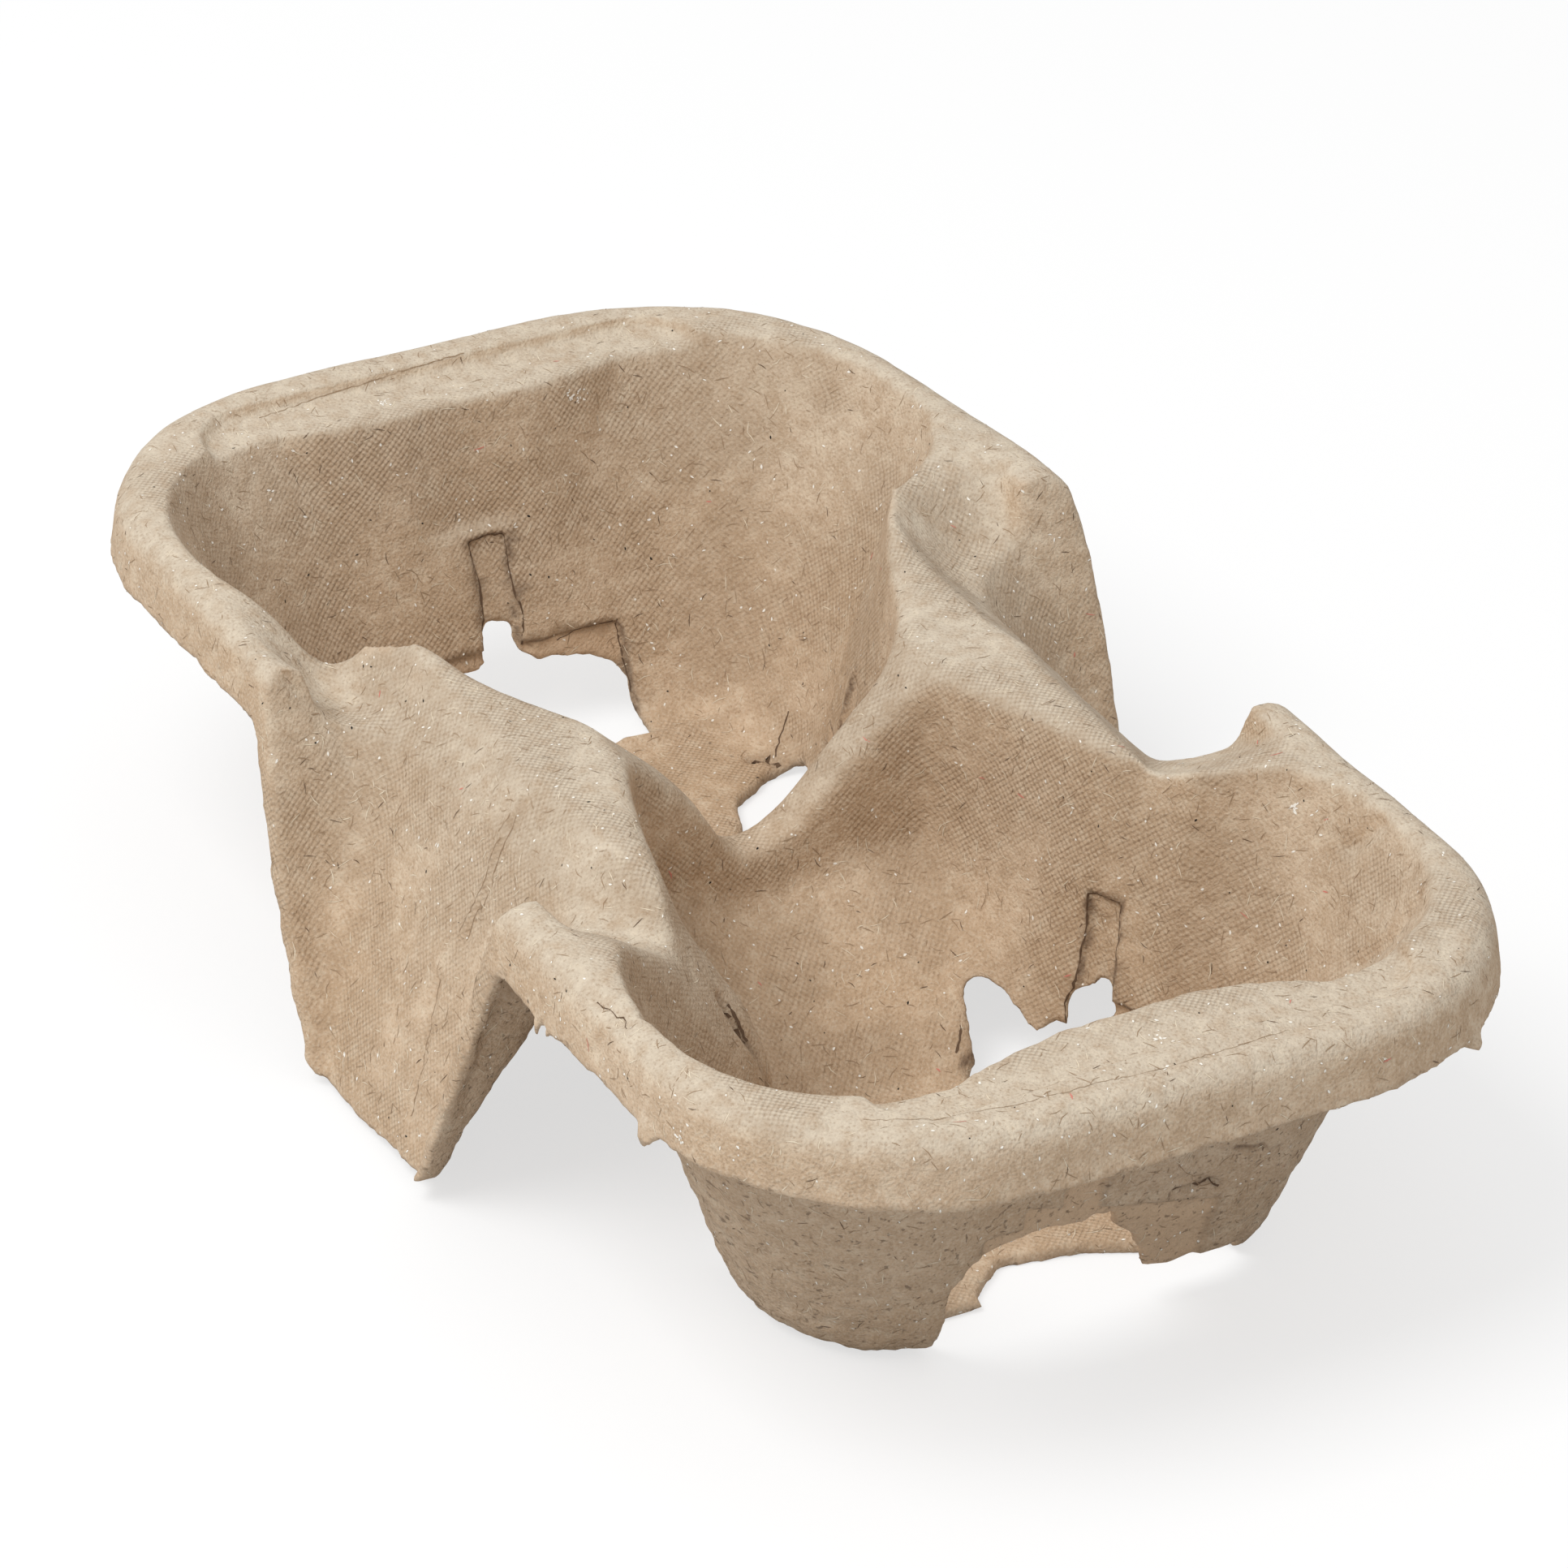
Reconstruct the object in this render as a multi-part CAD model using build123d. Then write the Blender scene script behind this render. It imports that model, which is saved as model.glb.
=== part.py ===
from build123d import *
import os

# Two-cup carrier moulded from recycled paper pulp: one thin sheet, open underneath.
# X runs along the two cups, Y across them and Z up. The origin is on the ground, at the middle.
# The near end is +X.

# The sheet
WALL = 2.0

# Rim and its turned-down skirt
LENGTH = 221.0
WIDTH = 115.0
HEIGHT = 51.0
CORNER_RADIUS = 37.0
SKIRT_DEPTH = 9.0
SKIRT_LEAN = 1.3
RIM_ROUND = 4.0
SIDE_RIM = 4.5
END_RIM = 14.5

# Shelf along each end wall, just below the rim's bead
SHELF_DROP = 2.0
SHELF_WIDTH = 74.0
SHELF_ROUND = 9.0
BEAD_WIDTH = 7.0

# Cup wells: a round cup seat inside a wider, squarer mouth with a flat end wall
CUP_SPACING = 106.0
CUP_TOP_RADIUS = 40.5
CUP_BASE_RADIUS = 30.0
MOUTH_START = 37.5
MOUTH_RADIUS = 27.0
MOUTH_BASE_START = 40.0
MOUTH_BASE_END = 78.0
MOUTH_BASE_WIDTH = 66.0
MOUTH_BASE_RADIUS = 18.0
BASE_ROUND = 5.0

# Grip pad: the middle of each end wall swells into the well near the rim
PAD_REACH = 4.0
PAD_WIDTH = 52.0
PAD_DEPTH = 30.0

# Saddle between the posts
SADDLE_HEIGHT = 26.0
SADDLE_TOP_WIDTH = 54.0
SADDLE_ROUND = 9.0

# Top of the posts, a little under the rim, and the slope from one up to the other
POST_HEIGHT = 47.5
POST_LENGTH = 68.0
POST_WIDTH = 88.0
SLOPE_LENGTH = 96.0
SLOPE_WIDTH = 102.0

# Legs: a chute on each side that narrows, splays outward and ends just above the ground
LEG_END = 2.0
LEG_SPLAY = 3.5
CHUTE_TOP_WIDTH = 68.0
CHUTE_FOOT_WIDTH = 33.0
CHUTE_TOP_DEPTH = 20.0
CHUTE_FOOT_DEPTH = 1.5
CHUTE_ROUND = 11.0
LEG_TOP_WIDTH = 71.0
LEG_FOOT_WIDTH = 37.0
LEG_FOOT_ROUND = 5.0

# Flare of a chute between the posts, which rounds its upper edges off
FLARE_DROP = 13.0
FLARE_INSIDE = (-9.0, -2.0, 48.5)
FLARE_OUTSIDE = (10.0, 6.0, 50.5)
FLARE_ROUND = 1.5

# Share of the wall by which the flare's underside also moves down, so that the slope keeps its thickness
FLARE_SINK = 0.6

# Knock-out windows, three to a cup: an upright slot over a wide foot opening
WINDOW_ANGLES = (0.0, 123.0, -123.0)
SLOT_WIDTH = 4.6
SLOT_TOPS = (18.7, 14.0, 14.0)
OPENING_WIDTHS = (39.0, 28.0, 28.0)
OPENING_TOPS = (13.0, 9.0, 9.0)
FLOOR_NOTCH = 5.0

# Outline of each knock-out, pressed into the wall above its opening
RECESS_SLOT_TOPS = (30.0, 26.6, 26.6)
RECESS_TOPS = (15.0, 14.6, 14.6)
RECESS_DEPTH = 0.6

# Piece torn out of the near well, as seen from above, and how far up it reaches
TEAR_PLAN = ((66.0, -3.0), (71.0, -9.0), (84.0, -14.0), (84.0, 14.0), (72.0, 16.0), (68.0, 8.0))
TEAR_TOP = 6.0

# Gap kept free inside the skirt when the lip is trimmed
TRIM_GAP = 1.0

# How far cutting tools run past what they cut
REACH = 10.0


def rounded(length, width, radius, height, x=0.0):
    """Rounded rectangle at a height, as one section of a loft."""
    radius = min(radius, length / 2 - 0.1, width / 2 - 0.1)
    return Pos(x, 0, height) * RectangleRounded(length, width, radius)


def block(inset):
    """Everything under the rim, before the wells and chutes are taken out."""
    low = HEIGHT - SKIRT_DEPTH
    length, width, radius = LENGTH - 2 * inset, WIDTH - 2 * inset, CORNER_RADIUS - inset
    lip = loft(
        [
            rounded(length, width, radius, low),
            rounded(length - 2 * SKIRT_LEAN, width - 2 * SKIRT_LEAN, radius - SKIRT_LEAN, HEIGHT - inset),
        ]
    )
    lip = fillet(lip.faces().sort_by(Axis.Z)[-1].edges(), RIM_ROUND - inset)
    splay = 2 * LEG_SPLAY * (low + REACH) / (low - LEG_END)
    return lip + loft([rounded(length, width, radius, low), rounded(length, width + splay, radius, -REACH)])


def end_wall_side(grow):
    """Half-space on the cup's side of a flat end wall."""
    top = LENGTH / 2 - END_RIM
    profile = Plane.XZ * make_face(
        Polyline(
            (-REACH, -REACH),
            (MOUTH_BASE_END + grow, -REACH),
            (MOUTH_BASE_END + grow, 0),
            (top + grow, HEIGHT),
            (top + grow, HEIGHT + 2 * REACH),
            (-REACH, HEIGHT + 2 * REACH),
            close=True,
        )
    )
    return extrude(profile, amount=WIDTH, both=True)


def cup(grow):
    """Round cup seat, wider at the top and cut off by the end wall."""
    slope = (CUP_TOP_RADIUS - CUP_BASE_RADIUS) / (HEIGHT - WALL)
    low = WALL - grow
    seat = Cone(
        CUP_BASE_RADIUS + grow * (1 - slope),
        CUP_TOP_RADIUS + grow + slope * REACH,
        HEIGHT + REACH - low,
        align=(Align.CENTER, Align.CENTER, Align.MIN),
    )
    seat = Pos(CUP_SPACING / 2, 0, low) * fillet(seat.edges().sort_by(Axis.Z)[0], BASE_ROUND + grow)
    return seat & end_wall_side(grow)


def mouth(grow):
    """Squarer mouth of a well, which narrows down to the floor."""
    start, end = MOUTH_START, LENGTH / 2 - END_RIM
    width = WIDTH - 2 * SKIRT_LEAN - 2 * SIDE_RIM
    top = rounded(end - start + 2 * grow, width + 2 * grow, MOUTH_RADIUS + grow, HEIGHT + 0.1, (start + end) / 2)
    foot = rounded(
        MOUTH_BASE_END - MOUTH_BASE_START + 2 * grow,
        MOUTH_BASE_WIDTH + 2 * grow,
        MOUTH_BASE_RADIUS + grow,
        WALL - grow,
        (MOUTH_BASE_START + MOUTH_BASE_END) / 2,
    )
    well = loft([foot, top])
    return fillet(well.faces().sort_by(Axis.Z)[0].edges(), BASE_ROUND + grow)


def pad(inset):
    """Swelling in the middle of an end wall."""
    end = LENGTH / 2 - END_RIM + inset
    slope = (LENGTH / 2 - END_RIM - MOUTH_BASE_END) / HEIGHT
    crown = Pos(end, 0, HEIGHT - SHELF_DROP - inset) * Ellipse(PAD_REACH, PAD_WIDTH / 2)
    tail = Pos(end - slope * PAD_DEPTH, 0, HEIGHT - PAD_DEPTH) * Ellipse(PAD_REACH / 10, PAD_WIDTH / 4)
    return loft([tail, crown], ruled=True)


def shelf(grow):
    """Flat shelf between an end wall and the bead of the rim."""
    outer = LENGTH / 2 - SKIRT_LEAN - BEAD_WIDTH + grow
    inner = LENGTH / 2 - END_RIM - 2 * REACH
    plan = Pos((outer + inner) / 2, 0, HEIGHT - SHELF_DROP - grow)
    return extrude(plan * RectangleRounded(outer - inner, SHELF_WIDTH + 2 * grow, SHELF_ROUND), amount=REACH)


def saddle(grow):
    """Valley between the two posts, from one well to the other."""
    rise = HEIGHT - SADDLE_HEIGHT
    profile = Plane.YZ * make_face(
        Polyline(
            (-SADDLE_TOP_WIDTH, SADDLE_HEIGHT - grow + 2 * rise),
            (0, SADDLE_HEIGHT - grow * 1.4),
            (SADDLE_TOP_WIDTH, SADDLE_HEIGHT - grow + 2 * rise),
            close=True,
        )
    )
    valley = extrude(profile, amount=CUP_SPACING / 2, both=True)
    return fillet(valley.edges().filter_by(Axis.X).sort_by(Axis.Z)[0], SADDLE_ROUND + grow)


def post_top(grow):
    """Space over the posts, which rises to the rim all round."""
    low = rounded(POST_LENGTH + 2 * grow, POST_WIDTH + 2 * grow, BASE_ROUND, POST_HEIGHT - grow)
    high = rounded(SLOPE_LENGTH + 2 * grow, SLOPE_WIDTH + 2 * grow, BASE_ROUND, HEIGHT - grow)
    space = loft([low, high], ruled=True)
    return space + Pos(0, 0, HEIGHT - grow + REACH / 2) * Box(SLOPE_LENGTH + 2 * grow, SLOPE_WIDTH + 2 * grow, REACH)


def chute_size(height):
    """Width and depth of a chute at a height."""
    share = (height - LEG_END) / (HEIGHT - LEG_END)
    width = CHUTE_FOOT_WIDTH + share * (CHUTE_TOP_WIDTH - CHUTE_FOOT_WIDTH)
    return width, CHUTE_FOOT_DEPTH + share * (CHUTE_TOP_DEPTH - CHUTE_FOOT_DEPTH)


def chute(grow):
    """Outer face of a leg, from the post's side down to the foot."""
    low = HEIGHT - SKIRT_DEPTH
    sections = []
    for height in (LEG_END - 1, HEIGHT + REACH):
        width, depth = chute_size(height)
        depth = 2 * (depth + grow)
        corner = min(CHUTE_ROUND * (0.15 + height / HEIGHT), 0.48 * depth)
        out = LEG_SPLAY * (low - height) / (low - LEG_END)
        sections.append(Pos(0, WIDTH / 2 + out, height) * RectangleRounded(width + 2 * grow, depth, corner))
    return loft(sections, ruled=True)


def flare(grow):
    """Slope from inside a chute up and out to the crest of the posts, which takes the edge off."""
    sections = []
    for height, (wider, deeper, end) in ((HEIGHT - FLARE_DROP, FLARE_INSIDE), (HEIGHT, FLARE_OUTSIDE)):
        width, depth = chute_size(height)
        back, front = WIDTH / 2 - depth - deeper - grow, end + grow
        plan = RectangleRounded(width + 2 * (wider + grow), front - back, FLARE_ROUND + grow / 2)
        sections.append(Pos(0, (back + front) / 2, height - FLARE_SINK * grow) * plan)
    return loft(sections, ruled=True)


def both_ends(shape):
    return shape + mirror(shape, about=Plane.YZ)


def both_sides(shape):
    return shape + mirror(shape, about=Plane.XZ)


def form(inset):
    """Solid under the sheet's top face, or under its lower face when inset by the wall."""
    solid = block(inset)
    solid -= both_ends(cup(inset))
    solid -= both_ends(mouth(inset) - pad(inset))
    solid -= both_ends(shelf(inset))
    solid -= saddle(inset)
    solid -= post_top(inset)
    solid -= both_sides(chute(inset))
    solid -= both_sides(flare(inset))
    return solid


def skirt_trim():
    """Everything of the deep skirt that is cut away, which leaves the rim's lip and the two legs."""
    low = HEIGHT - SKIRT_DEPTH
    hem = Pos(0, 0, (low - REACH) / 2) * Box(2 * LENGTH, 2 * WIDTH, low + REACH)
    inside = 2 * (WALL + TRIM_GAP)
    wells = extrude(
        Pos(0, 0, -REACH) * RectangleRounded(LENGTH - inside, WIDTH - inside, CORNER_RADIUS - inside / 2),
        amount=low + REACH,
    )
    leg = make_face(
        Polyline(
            (-LEG_FOOT_WIDTH / 2, LEG_END),
            (LEG_FOOT_WIDTH / 2, LEG_END),
            (LEG_TOP_WIDTH / 2, low),
            (-LEG_TOP_WIDTH / 2, low),
            close=True,
        )
    )
    leg = fillet(leg.vertices().sort_by(Axis.Y)[:2], LEG_FOOT_ROUND)
    return hem - wells - extrude(Plane.XZ * leg, amount=WIDTH, both=True)


def tee(reach, slot_top, width, top):
    """Upright slot above a wide foot, as a block that reaches from one distance to another."""
    (inner, outer), low = reach, -1.0
    middle, deep = (inner + outer) / 2, outer - inner
    foot = Pos(middle, 0, (low + top) / 2) * Box(deep, width, top - low)
    return foot + Pos(middle, 0, (low + slot_top) / 2) * Box(deep, SLOT_WIDTH, slot_top - low)


def in_well(number, shape):
    """A shape drawn along +X from a cup's axis, turned to its knock-out's place."""
    return Pos(CUP_SPACING / 2, 0, 0) * Rot(0, 0, WINDOW_ANGLES[number]) * shape


def notch_reach(number):
    """Distance from the cup's axis to where a knock-out's notch in the floor starts, and past the wall."""
    flat = MOUTH_BASE_END - CUP_SPACING / 2
    return (flat if number == 0 else CUP_BASE_RADIUS) - FLOOR_NOTCH, CUP_TOP_RADIUS + REACH


def window(number):
    """Opening of a knock-out in a well's wall, with its notch in the floor."""
    return in_well(number, tee(notch_reach(number), SLOT_TOPS[number], OPENING_WIDTHS[number], OPENING_TOPS[number]))


def recess(number, well):
    """Shallow outline of a knock-out in the well's face of the wall."""
    outline = tee(notch_reach(number), RECESS_SLOT_TOPS[number], OPENING_WIDTHS[number], RECESS_TOPS[number])
    return in_well(number, outline) & well


def tear():
    """Piece torn out of the near well's floor and end wall."""
    floor = Pos(0, 0, -REACH) * Polygon(*TEAR_PLAN, align=None)
    return extrude(floor, amount=REACH + TEAR_TOP)


def build():
    sheet = form(0.0) - form(WALL)
    sheet -= Pos(0, 0, -2 * REACH) * Box(2 * LENGTH, 2 * WIDTH, 4 * REACH)
    sheet -= skirt_trim()
    well = cup(RECESS_DEPTH) + mouth(RECESS_DEPTH)
    for number in range(len(WINDOW_ANGLES)):
        sheet -= both_ends(window(number))
        sheet -= both_ends(recess(number, well))
    return sheet - tear()


carrier = build()
print("solids", [round(s.volume) for s in carrier.solids()])
os.makedirs("parts", exist_ok=True)
export_step(carrier, "parts/carrier.step")
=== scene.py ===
import math

import bmesh
import bpy
import numpy as np
from mathutils import Matrix, Vector, noise
from mathutils.bvhtree import BVHTree


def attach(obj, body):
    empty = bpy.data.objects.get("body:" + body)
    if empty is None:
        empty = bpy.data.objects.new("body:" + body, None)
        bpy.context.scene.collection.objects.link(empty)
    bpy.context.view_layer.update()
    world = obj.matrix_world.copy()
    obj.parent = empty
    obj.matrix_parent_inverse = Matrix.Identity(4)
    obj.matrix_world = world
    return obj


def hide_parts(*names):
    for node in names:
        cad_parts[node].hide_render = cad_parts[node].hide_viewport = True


# Lengths are in millimetres here and become metres where a mesh is written.
MM = 0.001

# Mesh of the pulp: fine enough for torn edges, then thinned where it is flat
VOXEL = 0.62
TRIANGLES = 190000

# How far the saddle is drawn in as a share of its width, toward which X, and how much it is thickened
SADDLE_PULL = 0.78
SADDLE_MIDDLE = -4.5
SADDLE_THICKER = 1.3

# Rounds of smoothing: the whole sheet, the posts, then the lobe by the near-left post
SHEET_ROUNDS = 3
POST_ROUNDS = 30
LOBE_ROUNDS = 90
LOBE = ((39, -38, 44), (14, 8, 9))

# How deep a knock-out's outline is pressed into its wall
RECESS = 0.6

# Screen the pulp was drawn on
SCREEN_PITCH = 0.95

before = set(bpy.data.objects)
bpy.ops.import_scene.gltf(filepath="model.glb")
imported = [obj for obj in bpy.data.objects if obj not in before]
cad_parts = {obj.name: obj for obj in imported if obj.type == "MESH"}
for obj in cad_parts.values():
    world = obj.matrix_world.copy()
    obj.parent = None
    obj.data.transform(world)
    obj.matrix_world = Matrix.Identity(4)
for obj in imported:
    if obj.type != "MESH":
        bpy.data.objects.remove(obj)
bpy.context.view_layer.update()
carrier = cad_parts["carrier"]


# Helpers


def fractal(points, size, octaves=2, seed=0.0):
    """Smooth noise at each point, about -1 to 1, whose lumps are about that many millimetres across."""
    place = Vector((seed * 17.3, seed * 5.1, seed * 9.7))
    return np.array([noise.fractal(Vector(p) / size + place, 0.7, 2.0, octaves) for p in points])


def points_of(mesh):
    flat = np.empty(len(mesh.vertices) * 3)
    mesh.vertices.foreach_get("co", flat)
    return flat.reshape(-1, 3) / MM


def set_points(mesh, points):
    mesh.vertices.foreach_set("co", (points * MM).ravel())
    mesh.update()


def normals_of(mesh):
    flat = np.empty(len(mesh.vertices) * 3, dtype=np.float32)
    mesh.vertex_normals.foreach_get("vector", flat)
    return flat.reshape(-1, 3).astype(float)


def with_modifiers(obj):
    """Replaces an object's mesh by what its modifiers make of it."""
    made = bpy.data.meshes.new_from_object(obj.evaluated_get(bpy.context.evaluated_depsgraph_get()))
    obj.modifiers.clear()
    obj.data = made
    return obj


def new_object(name, mesh):
    obj = bpy.data.objects.new(name, mesh)
    bpy.context.scene.collection.objects.link(obj)
    return obj


class Nodes:
    """Shorthand for a material's node tree."""

    def __init__(self, name):
        self.material = bpy.data.materials.new(name)
        self.material.use_nodes = True
        self.tree = self.material.node_tree
        self.shader = self.tree.nodes["Principled BSDF"]

    def put(self, socket, value):
        if isinstance(value, bpy.types.NodeSocket):
            self.tree.links.new(value, socket)
        else:
            socket.default_value = value

    def math(self, kind, *values, clamp=False):
        node = self.tree.nodes.new("ShaderNodeMath")
        node.operation, node.use_clamp = kind, clamp
        for socket, value in zip(node.inputs, values):
            self.put(socket, value)
        return node.outputs[0]

    def noise(self, where, size, detail):
        node = self.tree.nodes.new("ShaderNodeTexNoise")
        self.put(node.inputs["Vector"], where)
        node.inputs["Scale"].default_value = 1 / (size * MM)
        node.inputs["Detail"].default_value = detail
        return node.outputs["Fac"]

    def ramp(self, value, low, high):
        node = self.tree.nodes.new("ShaderNodeMapRange")
        self.put(node.inputs["Value"], value)
        node.inputs["From Min"].default_value = low
        node.inputs["From Max"].default_value = high
        return node.outputs[0]

    def mix(self, share, a, b):
        node = self.tree.nodes.new("ShaderNodeMix")
        node.data_type = "RGBA"
        self.put(node.inputs[0], share)
        self.put(node.inputs[6], a)
        self.put(node.inputs[7], b)
        return node.outputs[2]

    def attribute(self, name):
        node = self.tree.nodes.new("ShaderNodeAttribute")
        node.attribute_name = name
        return node.outputs["Fac"]

    def split(self, vector):
        node = self.tree.nodes.new("ShaderNodeSeparateXYZ")
        self.put(node.inputs[0], vector)
        return node.outputs

    def turned(self, where, angles, stretch):
        node = self.tree.nodes.new("ShaderNodeMapping")
        self.put(node.inputs["Vector"], where)
        node.inputs["Rotation"].default_value = [math.radians(a) for a in angles]
        node.inputs["Scale"].default_value = stretch
        return node.outputs[0]


# Sheet of pulp

# Places where the real sheet bulges away from its mould: centre, reach on each axis, shift
WARPS = [
    ((34, -31, 20), (14, 13, 17), (3.0, 9.0, 0.0)),
    ((40, -38, 45), (10, 7, 9), (1.0, 2.0, -7.0)),
    ((-42, -44, 50), (9, 7, 10), (0.0, 0.0, -7.5)),
    ((-34, -45, 46), (6, 5, 7), (0.0, 1.0, -2.5)),
    ((-34, 45, 47), (6, 5, 7), (0.0, -1.0, -3.0)),
    ((-4, -2, 26), (13, 9, 12), (0.0, -2.0, -3.8)),
    ((-19, -62, 3), (8, 20, 14), (3.5, 0.0, 0.0)),
    ((-4, -62, 3), (13, 20, 9), (0.0, 0.0, -1.2)),
    ((-36, 58, 34), (34, 16, 50), (1.0, 6.5, 0.0)),
    ((95, 3, 50), (8, 24, 8), (-3.0, 0.0, 1.8)),
    ((-36, 35, 48), (7, 6, 8), (-0.5, 0.0, 3.2)),
    ((-35, -35, 48), (8, 6, 8), (-0.5, 0.0, 2.6)),
    ((1, 38, 47), (5, 4, 6), (0.0, 0.0, 1.2)),
    ((0, -38, 47), (5, 4, 6), (0.0, -0.8, 0.9)),
    ((40, 41, 46), (10, 7, 8), (0.0, 0.0, -1.5)),
]

# Lines on the sheet that are used more than once
WELL_SLIT = [
    (38.8, -27.9, 32.1),
    (40.1, -26.8, 28.9),
    (40.4, -25.0, 24.6),
    (40.8, -23.4, 19.5),
    (41.0, -22.0, 14.0),
    (41.0, -21.0, 8.0),
]
FLOOR_SLIT = [(-59.4, 27.8, 2.0), (-59.2, 30.2, 2.1), (-56.6, 30.3, 2.1)]
END_WALL_SLIT = [(86.9, 9.5, 20.0), (86.8, 12.3, 19.7), (86.4, 14.8, 19.9), (86.5, 16.2, 18.4)]
LEG_CREASE = [(3.4, -50.1, 22.4), (4.9, -52.3, 17.3), (7.2, -54.9, 12.0), (8.9, -57.2, 6.9)]
RIM_CREASE = [(58.2, -54.8, 50.5), (62.6, -54.3, 50.4), (65.2, -54.3, 50.5)]
SEAM = [(3.6, -39.3, 43.8), (4.2, -41.8, 39.8), (5.0, -43.9, 36.6), (4.8, -45.4, 33.1), (4.4, -47.0, 28.8)]

# Creases: half width, depth (negative stands up), then the line they follow
CREASES = [
    (1.0, 0.7, [(-54.7, 48.0, 50.0), (-53.5, 53.0, 51.0), (-53, 57, 48)]),
    (1.1, 0.8, [(-36.7, 50.5, 50.7), (-39, 55, 50.5), (-40, 58, 47)]),
    (1.1, 0.8, [(-43.0, -57.5, 46.0), (-42.2, -56.6, 48.2), (-41.9, -51.5, 51.0)]),
    (1.0, 0.8, [(62.0, -57.5, 46.0), (62.9, -55.7, 49.6), (65.0, -51.0, 50.0)]),
    (1.2, 0.8, [(71.3, 44.4, 33.9), (77.2, 45.5, 40.8), (80.0, 47.5, 47.0)]),
    (1.2, 0.7, [(61.4, 48.9, 44.6), (65.2, 51.1, 49.4)]),
    (0.9, 0.6, [(8.2, 23.7, 47.5), (12.8, 27.1, 47.5)]),
    (0.7, -0.5, [(3.0, -37.5, 46.0), *SEAM]),
    (
        0.6,
        0.6,
        [(4.4, -38.0, 45.5), (5.1, -40.0, 42.5), (6.2, -43.7, 37.0),
         (6.0, -45.8, 32.5), (5.6, -47.6, 28.0)],
    ),
    (0.8, 0.5, LEG_CREASE),
    (1.3, -0.9, [(-71.5, 15.0, 1.9), (-70.6, 21.6, 1.9), (-71.1, 26.9, 2.2), (-70.1, 30.8, 4.0)]),
    (0.9, 0.7, RIM_CREASE),
    (1.2, 0.7, [(-33.6, -53.3, 49.9), (-32.6, -51.2, 47.0), (-27.6, -47.1, 37.8)]),
    (0.6, 0.6, [(87.7, 9.4, 21.9), (87.3, 12.5, 21.1), (86.7, 15.8, 19.0)]),
    (
        0.8,
        0.5,
        [(96.9, -45.1, 50.6), (103.4, -28.9, 50.8), (104.6, -8.3, 50.8),
         (104.6, 14.3, 50.9), (101.5, 32.0, 50.9)],
    ),
]

# Slits, painted dark for the shade inside them: half width, depth and line
SLITS = [
    (0.9, 1.6, WELL_SLIT),
    (0.9, 1.0, FLOOR_SLIT),
    (0.5, 0.6, END_WALL_SLIT),
    (0.5, 0.7, [(88.4, 17.0, 25.0), (88.0, 20.0, 24.0), (87.0, 24.0, 22.5)]),
    (0.5, 0.5, [(-12.9, -52.9, 33.5), (-14.0, -54.5, 30.0)]),
]

# Walls with a knock-out: cup's axis on X, way the wall faces in degrees, distance at the floor, slope,
# and whether it is round
WALLS = {
    "near_end": (0.0, 0.0, 78.0, 0.3235, False),
    "far_end": (0.0, 180.0, 78.0, 0.3235, False),
    "near_left": (53.0, -123.0, 30.0, 0.2143, True),
    "near_right": (53.0, 123.0, 30.0, 0.2143, True),
    "far_left": (-53.0, -57.0, 30.0, 0.2143, True),
    "far_right": (-53.0, 57.0, 30.0, 0.2143, True),
}

# Shallow outline of each knock-out: slot from, to and top, then foot from, to and top, all along the wall
OUTLINES = {
    "near_end": (-6.8, -1.1, 27.5, -17.0, 16.5, 20.8),
    "far_end": (-4.4, 1.2, 30.0, -19.4, 19.4, 14.8),
    "near_left": (-2.4, 2.9, 28.0, -14.5, 14.5, 14.5),
    "near_right": (-2.9, 2.4, 28.0, -14.5, 14.5, 14.5),
    "far_left": (-2.7, 2.7, 27.0, -14.5, 14.5, 14.5),
    "far_right": (-2.7, 2.7, 27.0, -14.5, 14.5, 14.5),
}

# What is left of a knock-out, then what is torn out: wall, then places along it and heights
KEPT = [
    (
        "near_end",
        [(1.6, 19.5), (2.9, 15.4), (5.6, 12.9), (7.7, 9.6), (9.2, 5.2),
         (14.0, 5.0), (21.5, 5.0), (21.5, 15.0), (12, 15.5)],
    ),
    ("far_end", [(-15, 5), (15, 5), (15, 31), (-15, 31)]),
    ("far_end", [(-19.2, 6), (-14.8, 6), (-14.8, 16), (-19.2, 16)]),
    (
        "near_right",
        [(1.2, 14.2), (2.2, 12.4), (3.4, 9.8), (4.5, 8.3), (6.0, 7.3), (7.6, 8.4), (8.4, 11.0), (3.0, 16.0)],
    ),
    ("near_left", [(-7.5, 11), (-6.2, 7.0), (-4.0, 6.6), (-3.0, 10), (-2.4, 15)]),
    ("far_right", [(8.0, 11), (6.0, 6.0), (4.0, 6.8), (3.0, 10), (2.4, 15)]),
]
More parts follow.
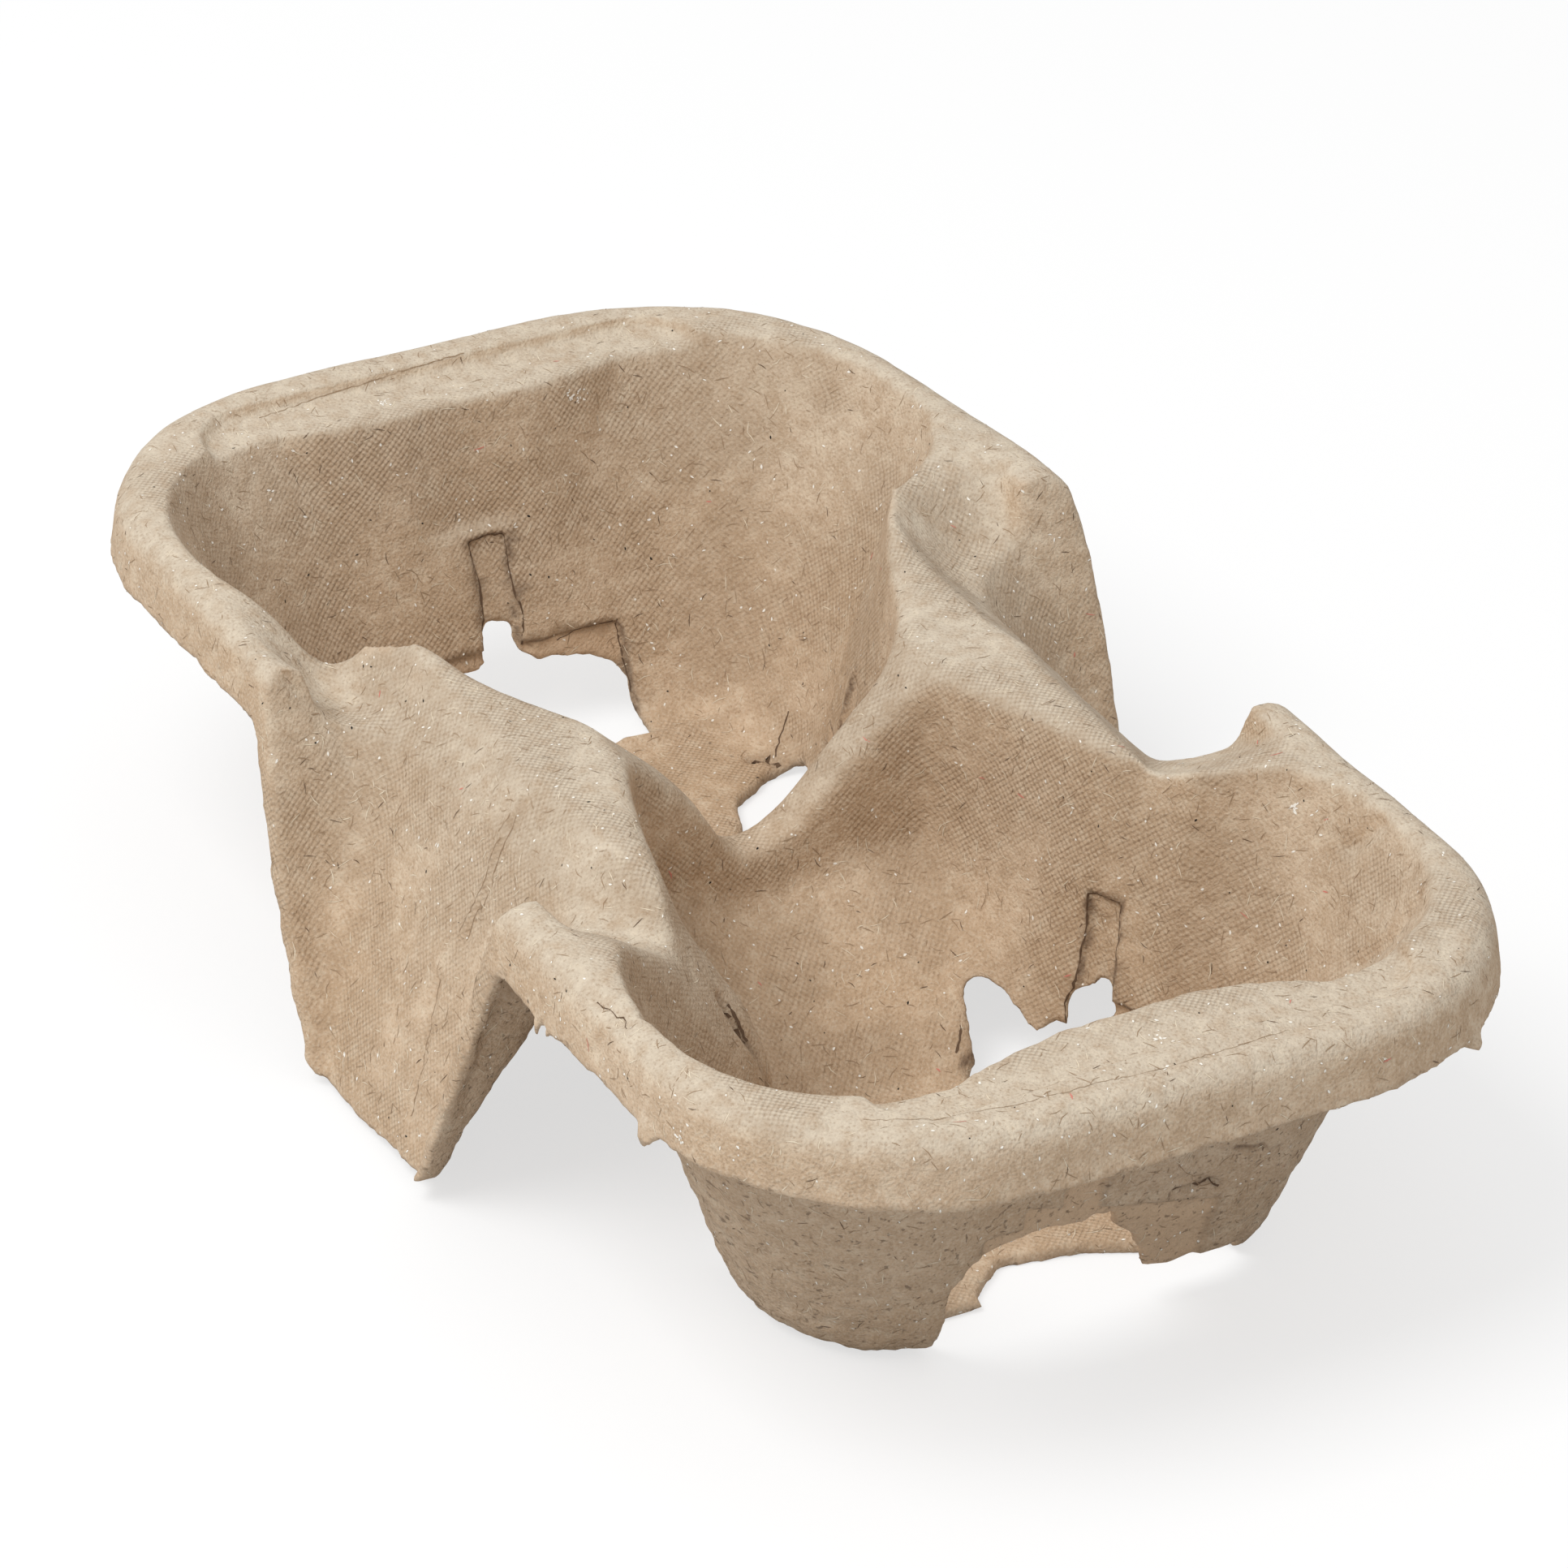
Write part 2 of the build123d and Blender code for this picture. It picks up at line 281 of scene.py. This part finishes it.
TORN = [
    (
        "near_end",
        [(-19.6, -2), (-19.4, 12.5), (-17.3, 16.6), (-13.2, 18.1), (-9.8, 18.6), (-6.1, 18.9), (-3, 18.0),
         (0.6, 17.0), (3, 15.2), (5.6, 12.9), (7.7, 9.6), (9.2, 5.2), (11.6, 4.2), (14.5, 5.1),
         (17.7, 4.4), (20.6, 5.4), (24.0, 4.0), (25.5, -2)],
    ),
    (
        "far_end",
        [(-19.8, -2), (-19.4, 5.1), (-19.0, 7.4), (-17.6, 8.8), (-16.2, 9.5), (-13, 10.8), (-10.8, 11.0),
         (-9, 11.6), (-6.9, 11.5), (-5.6, 12.6), (-4.5, 13.1), (-4.1, 14.2), (-3.7, 15.4), (-3.9, 16.9),
         (-3.2, 17.9), (-2.0, 17.8), (-1.0, 18.5), (0.5, 18.2), (0.8, 15.2), (1.3, 12.5), (3.2, 11.9),
         (6.5, 12.4), (10.5, 10.6), (15.5, 11.5), (19.4, 9.5), (19.6, -2)],
    ),
    ("near_right", [(-2.9, 12), (-2.0, 16.9), (-0.8, 16.2), (0.1, 15.1), (1.0, 14.0), (1.0, 12)]),
    ("near_right", [(7.6, 8.0), (8.4, 9.3), (9.7, 10.6), (12.1, 11.1), (13.6, 9.6), (14.2, 6), (13, 6)]),
]


def wall_place(wall, along, height, depth):
    """Point on the well's face of a wall, or as deep in it as asked."""
    axis, way, foot, slope, is_round = WALLS[wall]
    out = foot + slope * height
    if is_round:
        out = math.sqrt(out * out - along * along)
    angle = math.radians(way)
    out += depth
    x = axis + out * math.cos(angle) - along * math.sin(angle)
    y = out * math.sin(angle) + along * math.cos(angle)
    return (x, y, height)


def wall_frame(wall, points):
    """How far along the wall and how deep in it each point lies."""
    axis, way, foot, slope, is_round = WALLS[wall]
    angle = math.radians(way)
    x, y = points[:, 0] - axis, points[:, 1]
    out = x * math.cos(angle) + y * math.sin(angle)
    along = y * math.cos(angle) - x * math.sin(angle)
    reach = foot + slope * points[:, 2]
    depth = (np.hypot(out, along) if is_round else out) - reach
    if not is_round:
        depth += np.maximum(np.abs(along) - 15, 0) ** 2 / 36
    return along, np.where(out > 0, depth, 99.0)


# Torn notch in the far well's floor, seen from above
NOTCH = [(-50.5, 21.0), (-47, 19.4), (-44, 18.4), (-41, 16.4), (-37.6, 15.0), (-34, 20)]
NOTCH += [(-40, 28), (-49, 33), (-56.0, 33), (-55.2, 28), (-53.0, 25)]

# Ragged bits of the hem: centre and size
BURRS = [
    (75.5, -57.6, 41.6, 1.5),
    (76.8, -57.4, 41.2, 1.0),
    (104.7, 40.4, 41.6, 1.4),
    (103.6, 42.0, 41.2, 1.1),
    (50.2, -58.0, 41.0, 0.8),
    (47.4, -57.9, 41.0, 0.9),
    (71.5, -10.8, 0.9, 1.3),
    (72.6, -9.6, 1.1, 1.0),
]


def remeshed():
    """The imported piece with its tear, as one even mesh."""
    obj = new_object("carrier_pulp", carrier.data.copy())
    for wall, outline in KEPT:
        with_slab(obj, wall, outline, 0.06, 1.94, "UNION")
    for wall, outline in TORN:
        with_slab(obj, wall, outline, -5.0, 8.0, "DIFFERENCE")
    with_block(obj, [(x * MM, y * MM, z * MM) for z in (-3, 3.2) for x, y in NOTCH], "DIFFERENCE")
    bits = bmesh.new()
    bits.from_mesh(obj.data)
    for x, y, z, size in BURRS:
        turn = Matrix.Rotation(x, 4, "X") @ Matrix.Diagonal((1, 0.5, 1.5, 1))
        place = Matrix.Translation(Vector((x, y, z)) * MM) @ turn
        bmesh.ops.create_icosphere(bits, subdivisions=1, radius=size * MM, matrix=place)
    bits.to_mesh(obj.data)
    bits.free()
    evened(obj)
    set_points(obj.data, narrowed(obj.data))
    evened(obj)
    return obj


def evened(obj):
    remesh = obj.modifiers.new("even", "REMESH")
    remesh.mode = "VOXEL"
    remesh.voxel_size = VOXEL * MM
    with_modifiers(obj)


def narrowed(mesh):
    """Draws the saddle in to the rounded ridge that it is, with the wells' walls sloping up to it."""
    points, normals = points_of(mesh), normals_of(mesh)
    x, y, z = np.abs(points[:, 0]), np.abs(points[:, 1]), points[:, 2]
    share = SADDLE_PULL * ramp(y, 34, 19) * ramp(z, 2, 25) * ramp(x, 37, 25)
    points[:, 0] -= share * (points[:, 0] - SADDLE_MIDDLE)
    under = ramp(normals[:, 2], 0.0, -0.2) * ramp(z, 3, 6)
    points += normals * (SADDLE_THICKER * share * under)[:, None]
    return points


def with_slab(obj, wall, outline, inner, outer, kind):
    """Adds or cuts a slab that follows a wall."""
    verts = []
    for depth in (inner, outer):
        verts += [tuple(v * MM for v in wall_place(wall, along, height, depth)) for along, height in outline]
    with_block(obj, verts, kind)


def with_block(obj, verts, kind):
    """Adds or cuts a block between two outlines with as many corners."""
    count = len(verts) // 2
    faces = [tuple(range(count)), tuple(reversed(range(count, 2 * count)))]
    faces += [(i, i + count, (i + 1) % count + count, (i + 1) % count) for i in range(count)]
    slab = bpy.data.meshes.new("slab")
    slab.from_pydata(verts, [], faces)
    tool = new_object("slab", slab)
    work = bmesh.new()
    work.from_mesh(slab)
    bmesh.ops.recalc_face_normals(work, faces=work.faces)
    work.to_mesh(slab)
    work.free()
    cut = obj.modifiers.new("slab", "BOOLEAN")
    cut.object, cut.operation, cut.solver = tool, kind, "EXACT"
    with_modifiers(obj)
    bpy.data.objects.remove(tool)


def ramp(values, low, high):
    share = np.clip((values - low) / (high - low), 0, 1)
    return share * share * (3 - 2 * share)


class Web:
    """Edges of a mesh, to even things out along them."""

    def __init__(self, mesh):
        edges = np.empty(len(mesh.edges) * 2, dtype=np.int64)
        mesh.edges.foreach_get("vertices", edges)
        self.a, self.b, self.size = edges[0::2], edges[1::2], len(mesh.vertices)
        self.count = np.bincount(edges, minlength=self.size).astype(float)

    def mean(self, values):
        total = np.bincount(self.a, values[self.b], self.size)
        total += np.bincount(self.b, values[self.a], self.size)
        return total / self.count

    def soften(self, values, share, rounds):
        for _ in range(rounds):
            for column in values.T if values.ndim > 1 else [values]:
                column += share * (self.mean(column) - column)
        return values


def line_share(points, line, half):
    """1 on a line and less beside it."""
    nearest = np.full(len(points), 1e9)
    for a, b in zip(line, line[1:]):
        a, b = np.array(a, float), np.array(b, float)
        along = np.clip((points - a) @ (b - a) / ((b - a) @ (b - a)), 0, 1)
        nearest = np.minimum(nearest, np.linalg.norm(points - a - along[:, None] * (b - a), axis=1))
    return np.exp(-((nearest / half) ** 2))


def grooves(points):
    """How far the creases press the sheet in at each point."""
    return sum(deep * line_share(points, line, half) for half, deep, line in CREASES + SLITS)


def shaped(mesh):
    """Shapes the sheet as it came off its mould and was torn, and gives the shares that its colours need."""
    web = Web(mesh)
    points = points_of(mesh)
    x, y, z = np.abs(points[:, 0]), np.abs(points[:, 1]), points[:, 2]
    posts = ramp(x, 36, 26) * ramp(y, 38, 33) * ramp(z, 7, 14)
    points = web.soften(points, 0.5, SHEET_ROUNDS)
    points = web.soften(points, 0.5 * posts, POST_ROUNDS)
    for centre, reach, shift in WARPS:
        away = (points - np.array(centre, float)) / np.array(reach, float)
        points += np.exp(-(away**2).sum(1))[:, None] * np.array(shift)
    away = (points - np.array(LOBE[0])) / np.array(LOBE[1])
    points = web.soften(points, 0.5 * np.exp(-(away**2).sum(1)), LOBE_ROUNDS)
    set_points(mesh, points)

    normals = normals_of(mesh)
    top = web.soften(ramp(normals[:, 2], -0.06, 0.06), 0.5, 6)
    under = 1 - top
    even = web.soften(points.copy(), 0.6, 8)
    bend = np.linalg.norm(even - points, axis=1)
    edge = web.soften(ramp(bend, 0.25, 0.45), 0.5, 2)
    inward = (even - points) / np.maximum(bend, 1e-6)[:, None]
    slow = fractal(points, 24, 2, 1)
    lumps = fractal(points, 5.0, 2, 2)
    grain = fractal(points, 1.6, 2, 3)
    rag = fractal(points, 2.6, 3, 4)
    lift = 0.35 * slow + (0.07 + 0.2 * under) * lumps + (0.03 + 0.13 * under) * grain
    lift -= grooves(points)
    windows = ramp(z, 24, 16) * edge
    pull = edge * (0.45 * rag + 0.25 * grain) + windows * 0.7 * rag
    stands = ramp(z, 0.0, 1.2)
    moved = normals * (lift * (1 - 0.6 * edge))[:, None] + inward * pull[:, None]
    points = points + moved * stands[:, None]

    torn, cut_shade = np.zeros(len(points)), np.zeros(len(points))
    wander = 0.35 * fractal(points, 4.0, 2, 5)
    for wall, (slot_from, slot_to, slot_top, foot_from, foot_to, foot_top) in OUTLINES.items():
        along, depth = wall_frame(wall, points)
        # On the near end wall the outline is on the outer face, and it slopes
        outside = wall == "near_end"
        height = points[:, 2] + (0.3 * along * (along > -12) if outside else 0.0)
        slot = np.minimum(np.minimum(along - slot_from, slot_to - along), slot_top - height)
        foot = np.minimum(np.minimum(along - foot_from, foot_to - along), foot_top - height)
        within = np.maximum(slot, foot) + wander
        face = ramp(np.abs(depth - (2.0 if outside else 0.0)), 1.5, 1.0)
        pressed = ramp(within, -0.15, 0.25) * face
        angle = math.radians(WALLS[wall][1] + (180 if outside else 0))
        points[:, 0] += RECESS * pressed * math.cos(angle)
        points[:, 1] += RECESS * pressed * math.sin(angle)
        # Painted shade along the knock-out's cut outline, broken where the edge is ragged
        dark = (0.35 if outside else 1.0) * face * ramp(np.abs(within), 0.6, 0.1)
        cut_shade = np.maximum(cut_shade, dark * ramp(rag, -0.7, 0.1))
        if outside:
            torn = np.maximum(torn, pressed)
        else:
            bare = 0.8 * pressed * ramp(foot - 0.6 * rag, -1.5, 1.0)
            torn = np.maximum(torn, bare * ramp(points[:, 2], 7, 10))
    # Painted shade inside the slits
    for half, deep, line in SLITS:
        cut_shade = np.maximum(cut_shade, line_share(points, line, 0.8 * half))
    set_points(mesh, points)
    return top, edge, torn, cut_shade


def thinned(obj):
    count = sum(len(f.vertices) - 2 for f in obj.data.polygons)
    if count > TRIANGLES:
        thin = obj.modifiers.new("thin", "DECIMATE")
        thin.ratio = TRIANGLES / count
        with_modifiers(obj)


def marked(mesh, name, values):
    mark = mesh.attributes.new(name, "FLOAT", "POINT")
    mark.data.foreach_set("value", values.astype(np.float32))


pulp = remeshed()
mesh = pulp.data
top, edge, torn, cut_shade = shaped(mesh)
points = points_of(mesh)
x, y, z = np.abs(points[:, 0]), np.abs(points[:, 1]), points[:, 2]
rim = np.maximum(ramp(x, 93, 97), ramp(y, 49, 52) * ramp(x, 30, 36)) * ramp(z, 40, 43)
marked(mesh, "screen_side", top)
marked(mesh, "screen_print", top * (1 - 0.85 * rim) * (1 - edge))
marked(mesh, "torn", np.clip(edge * 0.8 + torn, 0, 1))
# Share of painted shade in the slits and cuts
marked(mesh, "cut_shade", cut_shade)
# Painted highlight: paler where the sheet faces up high on the carrier, the colour of its lit tops
marked(mesh, "pale", top * ramp(normals_of(mesh)[:, 2], 0.05, 0.85) * ramp(z, 15, 40))
thinned(pulp)
mesh = pulp.data
mesh.shade_smooth()


# Fibres and flecks that lie on the pulp, and fine lines of painted shade along its slits and creases

# Tufts of white fibre
TUFTS = [(-92.4, 17.1, 45.9), (-92.0, 18.4, 45.7), (96.9, 0.5, 49.0)]
TUFTS += [(52.0, 46.8, 45.8), (82.0, -56.0, 44.8), (-97.2, -9.0, 49.4)]

# Flecks in each tuft, and how far they scatter
TUFT_FLECKS = 11
TUFT_SCATTER = 0.55

# Fine dark lines of painted shade along slits, seams, creases, knock-out outlines and rim beads: wall, if
# any, how bold, and what they follow, on the wall or in space
LINES = [
    ("far_end", 1.0, [(0.7, 17.5), (0.4, 24.1), (1.4, 29.9), (0.2, 30.1), (-1.7, 30.0), (-4.3, 29.8)]),
    ("far_end", 0.9, [(-4.3, 29.8), (-4.5, 25.1), (-5.1, 17.8), (-4.6, 14.5)]),
    ("far_end", 1.0, [(-9.8, 13.9), (-14.0, 14.9), (-19.1, 15.1), (-19.2, 10.7), (-20.1, 4.7)]),
    ("near_right", 0.8, [(-2.9, 16.5), (-2.8, 22.0), (-2.9, 28.4), (-0.4, 28.2), (2.2, 27.4)]),
    ("near_right", 1.0, [(2.2, 27.4), (2.5, 20.2), (3.4, 12.9), (3.5, 9.4)]),
    ("near_right", 0.9, [(8.5, 14.3), (14.6, 14.6), (15.6, 9.9), (16.2, 4.4)]),
    (None, 2.4, WELL_SLIT),
    (
        None,
        1.4,
        [(38.7, -26.6, 31.0), (39.8, -25.3, 26.5), (40.6, -23.4, 20.5),
         (41.6, -21.8, 13.0), (42.0, -20.4, 7.0)],
    ),
    (None, 0.45, SEAM),
    (
        None,
        0.4,
        [(4.7, -39.3, 43.8), (5.3, -41.8, 39.8), (6.2, -43.9, 36.6),
         (6.0, -45.7, 32.7), (5.6, -47.3, 28.4)],
    ),
    (None, 0.45, LEG_CREASE),
    (None, 0.9, END_WALL_SLIT),
    (None, 0.5, [(89.1, 8.8, 25.2), (86.7, 13.5, 19.2), (86.3, 15.7, 19.0)]),
    (None, 0.45, [(-100.9, -26.3, 49.1), (-101.8, -15.8, 49.7), (-102.2, -5.8, 50.2), (-102.5, 5.7, 50.8)]),
    (
        None,
        0.22,
        [(97.9, -39.9, 51.0), (101.6, -32.5, 50.9), (103.4, -22.6, 51.0),
         (103.8, -11.9, 51.1), (104.6, -2.4, 51.0), (104.0, 14.7, 51.0)],
    ),
    (None, 0.9, RIM_CREASE),
    (None, 2.4, FLOOR_SLIT),
    (None, 0.9, [(-61.8, 35.0, 6.6), (-61.0, 33.3, 3.6), (-58.4, 30.8, 2.2)]),
]

# Kind, how many, length and width in millimetres, colour
FIBRES = [
    ("fibre_brown_and_line_shade", 5200, (0.7, 2.2), (0.09, 0.15), (0.330, 0.222, 0.135, 1)),
    ("fibre_dark_and_line_shade", 1100, (0.6, 1.8), (0.08, 0.15), (0.130, 0.080, 0.048, 1)),
    ("fibre_pale", 3600, (0.8, 2.4), (0.09, 0.16), (0.740, 0.640, 0.490, 1)),
    ("fleck_white", 3400, (0.2, 0.6), (0.18, 0.36), (0.900, 0.860, 0.780, 1)),
    ("speck_black", 420, (0.15, 0.5), (0.14, 0.30), (0.020, 0.016, 0.012, 1)),
    ("fibre_red", 110, (0.7, 1.8), (0.14, 0.26), (0.620, 0.220, 0.170, 1)),
]


def plain_material(name, colour):
    n = Nodes(name)
    n.shader.inputs["Base Color"].default_value = colour
    n.shader.inputs["Roughness"].default_value = 0.85
    n.shader.inputs["Specular IOR Level"].default_value = 0.3
    return n.material


def fibres(source):
    """Short ribbons laid on the sheet at random, and the fine dark lines of painted shade along slits and
    creases.
    """
    rng = np.random.default_rng(11)
    source.calc_loop_triangles()
    corner = np.empty(len(source.loop_triangles) * 3, dtype=np.int64)
    source.loop_triangles.foreach_get("vertices", corner)
    corner = corner.reshape(-1, 3)
    points, normals = points_of(source), normals_of(source)
    a, b, c = (points[corner[:, k]] for k in range(3))
    areas = np.linalg.norm(np.cross(b - a, c - a), axis=1)
    tree = BVHTree.FromPolygons([Vector(p) for p in points], [tuple(t) for t in corner])
    verts, faces, kinds = [], [], []
    for kind, (name, count, lengths, widths, _) in enumerate(FIBRES):
        chosen = rng.choice(len(corner), count, p=areas / areas.sum())
        u, v = rng.random(count), rng.random(count)
        over = u + v > 1
        u[over], v[over] = 1 - u[over], 1 - v[over]
        spots = a[chosen] + (b[chosen] - a[chosen]) * u[:, None] + (c[chosen] - a[chosen]) * v[:, None]
        facing = normals[corner[chosen, 0]]
        if name == "fleck_white":
            tufts = np.repeat(np.array(TUFTS), TUFT_FLECKS, axis=0)
            tufts += rng.normal(0, TUFT_SCATTER, tufts.shape)
            spots = np.concatenate([spots, tufts])
            facing = np.concatenate([facing, [tree.find_nearest(Vector(p))[1] for p in tufts]])
        for spot, face in zip(spots, facing):
            middle, face = Vector(spot), Vector(face)
            run = face.cross(Vector(rng.normal(size=3))).normalized()
            side = face.cross(run)
            half, width = rng.uniform(*lengths) / 2, rng.uniform(*widths) / 2
            bend = rng.normal() * 0.12 * half
            first = len(verts)
            for share, thin in ((-1, 0.35), (0, 1.0), (1, 0.35)):
                wanted = middle + run * half * share + side * bend * (1 - share * share)
                found, up, _, _ = tree.find_nearest(wanted)
                across = up.cross(run).normalized() * width * thin
                lifted = found + up * 0.04
                verts += [lifted - across, lifted + across]
            faces.append((first, first + 2, first + 3, first + 1))
            faces.append((first + 2, first + 4, first + 5, first + 3))
            kinds += [kind, kind]
    for wall, weight, outline in LINES:
        line = [wall_place(wall, along, height, 0.4) for along, height in outline] if wall else outline
        last = None
        for a, b in zip(line, line[1:]):
            a, b = Vector(a), Vector(b)
            steps = max(2, round((b - a).length / 0.7))
            for step in range(steps + (b == Vector(line[-1]))):
                wanted = a.lerp(b, step / steps) + Vector(rng.normal(size=3)) * 0.07
                found, up, _, far = tree.find_nearest(wanted)
                thick = 0.02 + 0.16 * rng.random() + 0.10 * max(0, noise.noise(wanted / 3.0))
                across = up.cross(b - a).normalized() * (weight * thick)
                verts += [found + up * 0.05 - across, found + up * 0.05 + across]
                if last is not None and far < 2.5 and (found - last).length < 1.6:
                    n = len(verts)
                    faces.append((n - 4, n - 3, n - 1, n - 2))
                    # Bold lines of painted shade take the dark fibres' colour, faint ones the brown
                    kinds.append(1 if weight > 0.7 else 0)
                last = found
    laid = bpy.data.meshes.new("carrier_fibres_and_shade_lines")
    laid.from_pydata([v * MM for v in verts], [], faces)
    for name, _, _, _, colour in FIBRES:
        laid.materials.append(plain_material(name, colour))
    laid.polygons.foreach_set("material_index", kinds)
    return new_object("carrier_fibres_and_shade_lines", laid)


# Materials


def pulp_material():
    n = Nodes("moulded_pulp")
    where = n.tree.nodes.new("ShaderNodeTexCoord").outputs["Object"]
    marks = ("screen_side", "screen_print", "torn", "cut_shade", "pale")
    side, printing, torn, cut_shade, pale = (n.attribute(name) for name in marks)
    split = n.split(where)
    facing = n.split(n.tree.nodes.new("ShaderNodeNewGeometry").outputs["Normal"])

    # Imprint of the screen, seen along each axis and weighted by the way the sheet faces
    wobble = n.noise(where, 11.0, 1.0)
    waves = []
    for axis in range(3):
        even = n.math("MULTIPLY", split[axis], math.pi / (SCREEN_PITCH * MM))
        slow = n.math("MULTIPLY_ADD", wobble, 2.5, even)
        waves.append((n.math("SINE", slow), n.math("COSINE", slow)))
    weave = 0.0
    for axis in range(3):
        (a, a2), (b, b2) = [waves[i] for i in range(3) if i != axis]
        over = n.math("ABSOLUTE", n.math("MULTIPLY", a, b))
        between = n.math("ABSOLUTE", n.math("MULTIPLY", a2, b2))
        pattern = n.math("MAXIMUM", over, between)
        share = n.math("POWER", n.math("ABSOLUTE", facing[axis]), 3.0)
        weave = n.math("MULTIPLY_ADD", pattern, share, weave)
    patches = n.ramp(n.noise(where, 13.0, 2.0), 0.34, 0.54)
    printed = n.math("MULTIPLY", printing, patches)

    clouds = n.noise(where, 22.0, 2.0)
    mottle = n.noise(where, 2.4, 3.0)
    grain = n.noise(where, 0.4, 1.0)
    under = n.math("SUBTRACT", 1.0, side, clamp=True)
    colour = n.mix(n.ramp(clouds, 0.35, 0.65), (0.560, 0.405, 0.268, 1), (0.620, 0.470, 0.330, 1))
    # Painted highlight: the paler, cooler colour of the lit tops where the sheet faces up
    colour = n.mix(n.math("MULTIPLY", pale, 0.9), colour, (0.580, 0.505, 0.402, 1))
    colour = n.mix(n.math("MULTIPLY", n.ramp(mottle, 0.42, 0.72), 0.5), colour, (0.42, 0.29, 0.18, 1))
    colour = n.mix(n.math("MULTIPLY", n.ramp(mottle, 0.46, 0.28), 0.4), colour, (0.72, 0.61, 0.46, 1))
    colour = n.mix(n.math("MULTIPLY", n.ramp(grain, 0.5, 0.72), 0.4), colour, (0.74, 0.64, 0.50, 1))
    colour = n.mix(n.math("MULTIPLY", n.ramp(grain, 0.42, 0.28), 0.45), colour, (0.33, 0.22, 0.135, 1))
    colour = n.mix(n.math("MULTIPLY", under, 0.2), colour, (0.44, 0.33, 0.24, 1))
    colour = n.mix(n.math("MULTIPLY", torn, 0.7), colour, (0.64, 0.455, 0.300, 1))
    dashes = n.noise(n.turned(where, (0, 0, 25), (0.35, 1.0, 1.0)), 0.9, 2.0)
    dashed = n.math("MULTIPLY", n.ramp(dashes, 0.62, 0.70), under)
    colour = n.mix(n.math("MULTIPLY", dashed, 0.6), colour, (0.13, 0.085, 0.055, 1))
    # Painted shade in the pits of the screen imprint
    pit_shade = n.math("MULTIPLY", n.math("SUBTRACT", 1.0, weave, clamp=True), printed)
    colour = n.mix(n.math("MULTIPLY", pit_shade, 0.6), colour, (0.30, 0.20, 0.12, 1))
    # Painted shade: dark in the slits and along the knock-outs' cut outlines
    colour = n.mix(n.math("MULTIPLY", cut_shade, 0.75), colour, (0.11, 0.065, 0.04, 1))
    n.put(n.shader.inputs["Base Color"], colour)
    n.shader.inputs["Roughness"].default_value = 0.92
    n.shader.inputs["Specular IOR Level"].default_value = 0.2

    height = n.math("MULTIPLY", n.math("MULTIPLY", weave, printed), 0.20)
    height = n.math("MULTIPLY_ADD", grain, 0.20, height)
    height = n.math("MULTIPLY_ADD", mottle, n.math("MULTIPLY_ADD", under, 0.9, 0.45), height)
    bump = n.tree.nodes.new("ShaderNodeBump")
    n.put(bump.inputs["Height"], height)
    bump.inputs["Distance"].default_value = 1.0 * MM
    bump.inputs["Strength"].default_value = 0.8
    n.put(n.shader.inputs["Normal"], bump.outputs[0])
    return n.material


mesh.materials.clear()
mesh.materials.append(pulp_material())
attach(pulp, "root")
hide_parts("carrier")
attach(fibres(mesh), "root")


# Floor, light and camera


def floor():
    n = Nodes("floor_white")
    n.shader.inputs["Roughness"].default_value = 1.0
    n.shader.inputs["Specular IOR Level"].default_value = 0.0
    glow = n.tree.nodes.new("ShaderNodeEmission")
    seen = n.tree.nodes.new("ShaderNodeLightPath").outputs["Is Camera Ray"]
    mixed = n.tree.nodes.new("ShaderNodeMixShader")
    n.put(n.shader.inputs["Base Color"], n.mix(seen, (0.58, 0.58, 0.58, 1), (0.95, 0.95, 0.95, 1)))
    n.put(mixed.inputs[0], n.math("MULTIPLY", seen, 0.66))
    n.put(mixed.inputs[1], n.shader.outputs[0])
    n.put(mixed.inputs[2], glow.outputs[0])
    n.put(n.tree.nodes["Material Output"].inputs["Surface"], mixed.outputs[0])
    plane = bpy.data.meshes.new("floor")
    reach = 6.0
    corners = [(-reach, -reach, 0), (reach, -reach, 0), (reach, reach, 0), (-reach, reach, 0)]
    plane.from_pydata(corners, [], [(0, 1, 2, 3)])
    plane.materials.append(n.material)
    return new_object("floor", plane)


def area(name, place, aim, power, size):
    light = bpy.data.lights.new(name, "AREA")
    light.energy, light.size = power, size
    lamp = new_object(name, light)
    lamp.location = place
    lamp.rotation_euler = (Vector(aim) - Vector(place)).to_track_quat("-Z", "Y").to_euler()


world = bpy.data.worlds.new("sky")
world.use_nodes = True
world.node_tree.nodes["Background"].inputs["Color"].default_value = (1, 1, 1, 1)
world.node_tree.nodes["Background"].inputs["Strength"].default_value = 0.68
bpy.context.scene.world = world
area("key", (0.06, -0.55, 0.95), (0, 0, 0.03), 7.2, 0.6)
floor()

camera = bpy.data.cameras.new("camera")
camera.lens, camera.sensor_width, camera.clip_end = 186.04, 36.0, 20.0
eye = new_object("camera", camera)
turn, rise = math.radians(62.08), math.radians(29.96)
back = Vector((math.sin(turn) * math.cos(rise), -math.cos(turn) * math.cos(rise), math.sin(rise)))
right = Vector((math.cos(turn), math.sin(turn), 0))
up = back.cross(right)
place = (back * 1068.44 + right * 1.343 + up * 37.621 + Vector((0, 0, -7.68))) * MM
eye.matrix_world = Matrix.Translation(place) @ Matrix((right, up, back)).transposed().to_4x4()
bpy.context.scene.camera = eye
bpy.context.scene.view_settings.view_transform = "Standard"
